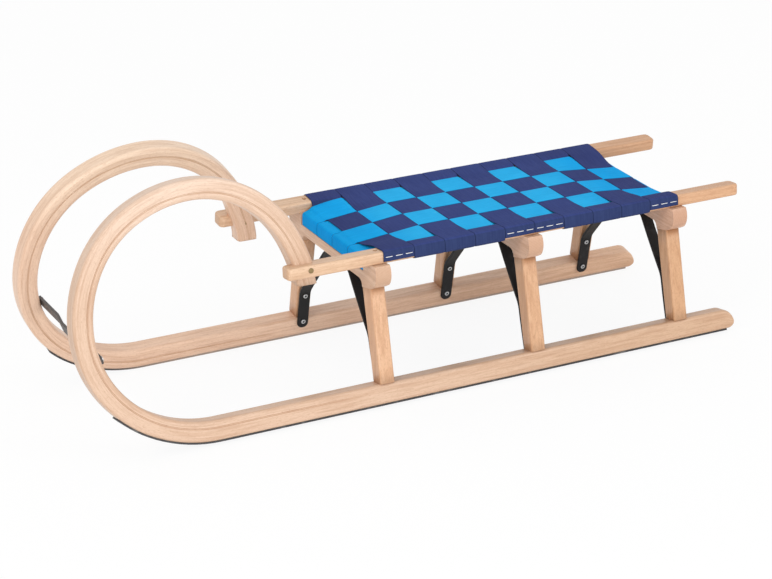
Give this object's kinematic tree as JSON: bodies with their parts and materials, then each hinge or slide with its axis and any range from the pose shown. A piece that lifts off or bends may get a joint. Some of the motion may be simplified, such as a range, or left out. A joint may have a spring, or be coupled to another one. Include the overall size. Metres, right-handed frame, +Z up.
{
  "type": "snow sled",
  "caption": "Wooden horn sled with curled runners, steel shoes, braced legs and a seat woven from belts.",
  "frame": {"origin": "on the ground under the middle of the sled's length and width", "axes": "+X forward to the horns, +Y to the left side, +Z up"},
  "size_m": [1.1014, 0.3254, 0.3832],
  "materials": {
    "wood": "clear-coated light beech",
    "shoe_steel": "dark worn steel",
    "dark_steel": "black coated steel",
    "screw_steel": "zinc plated",
    "bolt_brass": "dull brass",
    "navy_belt": "woven webbing",
    "blue_belt": "woven webbing"
  },
  "bodies": {
    "root": {"side_rail_left": "wood", "runner_left": "wood", "shoe_left": "shoe_steel", "side_rail_right": "wood", "runner_right": "wood", "shoe_right": "shoe_steel", "crossbar_front": "wood", "crossbar_middle": "wood", "crossbar_rear": "wood", "leg_front_left": "wood", "brace_front_left": "dark_steel", "leg_front_right": "wood", "brace_front_right": "dark_steel", "leg_middle_left": "wood", "brace_middle_left": "dark_steel", "leg_middle_right": "wood", "brace_middle_right": "dark_steel", "leg_rear_left": "wood", "brace_rear_left": "dark_steel", "leg_rear_right": "wood", "brace_rear_right": "dark_steel", "tow_bow": "dark_steel", "bow_screws": "screw_steel", "brace_screws_left": "screw_steel", "brace_screws_right": "screw_steel", "rail_bolt_left": "bolt_brass", "rail_bolt_right": "bolt_brass", "belts_crosswise": "navy_belt", "belts_lengthwise": "blue_belt"}
  },
  "joints": []
}
